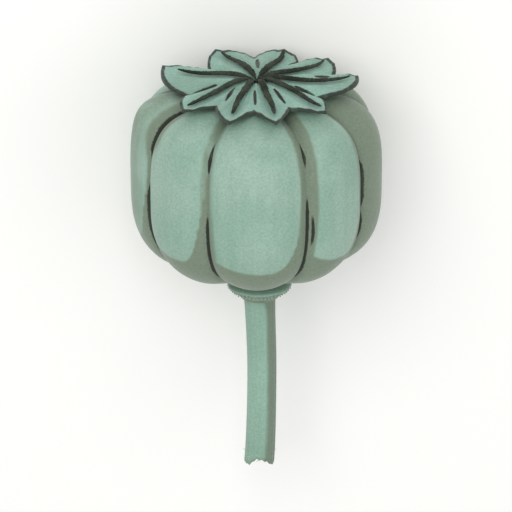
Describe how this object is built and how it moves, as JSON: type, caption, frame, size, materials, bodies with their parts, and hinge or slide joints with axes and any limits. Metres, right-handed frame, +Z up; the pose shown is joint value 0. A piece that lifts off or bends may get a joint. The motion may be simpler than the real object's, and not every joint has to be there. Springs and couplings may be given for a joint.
{
  "type": "poppy seed head",
  "caption": "Ribbed globe of a poppy seed capsule with a lobed, rayed crown, a swollen collar and a short torn stalk, lying on its side.",
  "frame": {"origin": "on the surface it lies on, under the centre of the whole head's bounding box", "axes": "+Z up from that surface, +Y along the head's axis towards the crown, +X to the right of someone looking down with the crown away"},
  "size_m": [0.0448, 0.0756, 0.0442],
  "materials": {
    "capsule_skin": "sage green skin with a waxy bloom, satin to matte",
    "crown_skin": "sage green leathery lobes with brown edges, matte",
    "ray_velvet": "dark olive grey velvet, very matte",
    "collar_skin": "grey green skin with scar marks, matte",
    "stalk_skin": "sage green stalk with fine lengthwise lines, satin"
  },
  "bodies": {
    "root": {"capsule": "capsule_skin", "stigma_disc": "crown_skin", "stigma_rays": "ray_velvet", "receptacle": "collar_skin", "stem": "stalk_skin"}
  },
  "joints": []
}
